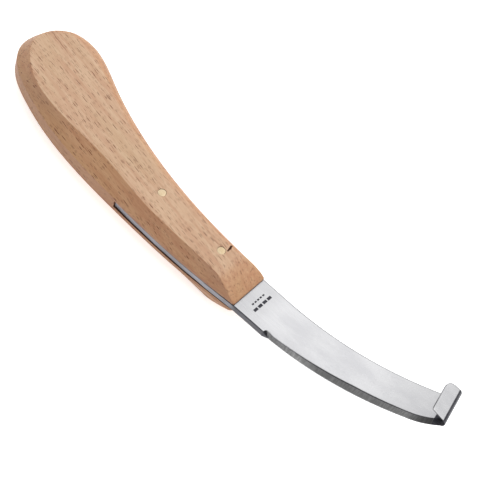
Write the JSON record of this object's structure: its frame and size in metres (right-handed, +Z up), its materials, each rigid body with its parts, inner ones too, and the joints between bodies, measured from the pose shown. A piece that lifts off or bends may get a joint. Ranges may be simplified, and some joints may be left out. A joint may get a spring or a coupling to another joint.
{
  "type": "hook knife",
  "caption": "Hoof-trimming hook knife: slotted beech handle, bent steel blade with a folded hook tip, brass-riveted tang.",
  "frame": {"origin": "on the handle's lower broad face, halfway between the two rivets", "axes": "+X from the butt towards the hook, +Y across the blade towards its blunt back, +Z up from the face it lies on"},
  "size_m": [0.2151, 0.0443, 0.0278],
  "materials": {
    "wood": "bare sanded beech, lightly oiled, with short dark ray flecks",
    "steel": "satin ground faces with a darker ground bevel",
    "brass": "rivet ends filed flush with the wood"
  },
  "bodies": {
    "root": {"handle": "wood", "blade": "steel", "rivet_rear": "brass", "rivet_front": "brass"}
  },
  "joints": []
}
